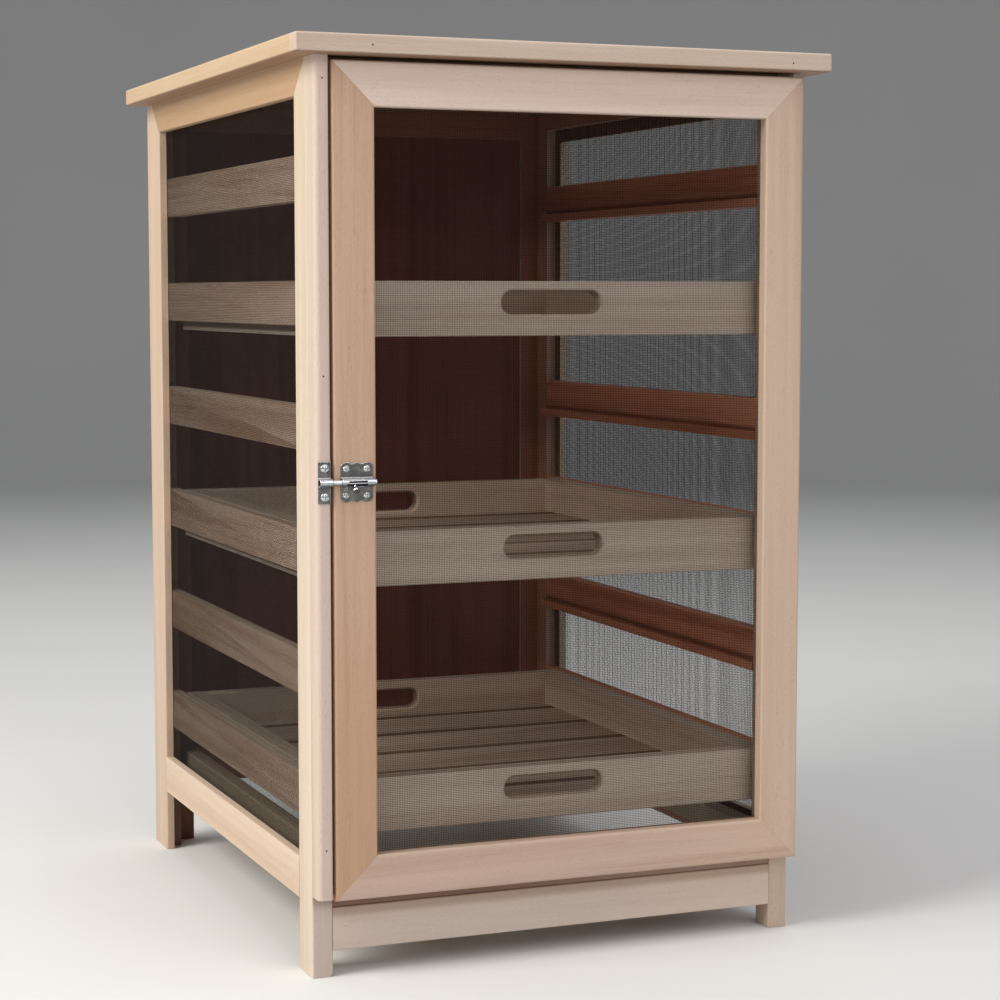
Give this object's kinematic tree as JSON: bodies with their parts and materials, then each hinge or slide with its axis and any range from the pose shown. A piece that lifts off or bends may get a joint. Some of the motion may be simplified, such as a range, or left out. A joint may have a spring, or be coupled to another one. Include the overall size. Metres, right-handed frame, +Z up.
{
  "type": "mesh-door vegetable store cabinet",
  "caption": "Free-standing beech fruit and vegetable cabinet with mesh sides, a hinged mesh door with a barrel bolt, and slatted trays on runners.",
  "frame": {"origin": "middle of the overall box, on the floor", "axes": "+Z up, +X to the right of someone facing the door, the door faces -Y"},
  "size_m": [0.544, 0.662, 0.87],
  "materials": {
    "beech_outside": "planed and sanded beech, clear matt",
    "beech_inside": "planed beech, unfinished",
    "back_panel_wood": "red-brown veneered panel, satin",
    "insect_mesh": "black woven insect screen",
    "zinc_steel": "bright zinc plate"
  },
  "bodies": {
    "carcass": {"top_board": "beech_outside", "top_front_lipping": "beech_outside", "left_front_stile": "beech_outside", "left_back_stile": "beech_outside", "left_top_rail": "beech_outside", "left_bottom_rail": "beech_outside", "left_mesh": "insect_mesh", "right_front_stile": "beech_outside", "right_back_stile": "beech_outside", "right_top_rail": "beech_outside", "right_bottom_rail": "beech_outside", "right_mesh": "insect_mesh", "back_stile_left": "beech_outside", "back_stile_right": "beech_outside", "back_top_rail": "beech_outside", "back_bottom_rail": "beech_outside", "back_panel": "back_panel_wood", "front_top_rail": "beech_outside", "front_base_rail": "beech_outside", "plinth_board": "beech_outside", "jamb_strip": "beech_outside", "left_bearer": "beech_inside", "right_bearer": "beech_inside", "runner_pair_1": "beech_inside", "runner_pair_2": "beech_inside", "runner_pair_3": "beech_inside", "runner_pair_4": "beech_inside", "runner_pair_5": "beech_inside", "runner_pair_6": "beech_inside", "hinge_leaf_carcass": "zinc_steel", "hinge_pins": "zinc_steel", "hinge_screws_carcass": "zinc_steel", "bolt_keeper": "zinc_steel", "keeper_screws": "zinc_steel"},
    "door": {"door_stile_left": "beech_outside", "door_stile_right": "beech_outside", "door_rail_top": "beech_outside", "door_rail_bottom": "beech_outside", "door_mesh": "insect_mesh", "door_beads": "beech_outside", "hinge_leaf_door": "zinc_steel", "hinge_screws_door": "zinc_steel", "bolt_plate": "zinc_steel", "bolt_screws": "zinc_steel"},
    "bolt": {"bolt_rod": "zinc_steel"},
    "tray_1": {"tray_1_front": "beech_inside", "tray_1_back": "beech_inside", "tray_1_side_left": "beech_inside", "tray_1_side_right": "beech_inside", "tray_1_slats": "beech_inside"},
    "tray_2": {"tray_2_front": "beech_inside", "tray_2_back": "beech_inside", "tray_2_side_left": "beech_inside", "tray_2_side_right": "beech_inside", "tray_2_slats": "beech_inside"},
    "tray_3": {"tray_3_front": "beech_inside", "tray_3_back": "beech_inside", "tray_3_side_left": "beech_inside", "tray_3_side_right": "beech_inside", "tray_3_slats": "beech_inside"}
  },
  "joints": [
    {"name": "door_hinge", "type": "hinge", "parent": "carcass", "child": "door", "pos_m": [0.2532, -0.29615, 0.46], "axis": [0, 0, 1], "range_deg": [0, 180]},
    {"name": "bolt_slide", "type": "slide", "parent": "door", "child": "bolt", "axis": [1, 0, 0], "range_m": [-0.0055, 0.0105]},
    {"name": "tray_1_slide", "type": "slide", "parent": "carcass", "child": "tray_1", "axis": [0, -1, 0], "range_m": [0, 0.126]},
    {"name": "tray_2_slide", "type": "slide", "parent": "carcass", "child": "tray_2", "axis": [0, -1, 0], "range_m": [0, 0.126]},
    {"name": "tray_3_slide", "type": "slide", "parent": "carcass", "child": "tray_3", "axis": [0, -1, 0], "range_m": [0, 0.126]}
  ],
  "couplings": [
    {"joint": "tray_1_slide", "follows": "door_hinge", "m_per_rad": 0.04},
    {"joint": "tray_2_slide", "follows": "door_hinge", "m_per_rad": 0.04},
    {"joint": "tray_3_slide", "follows": "door_hinge", "m_per_rad": 0.04}
  ]
}
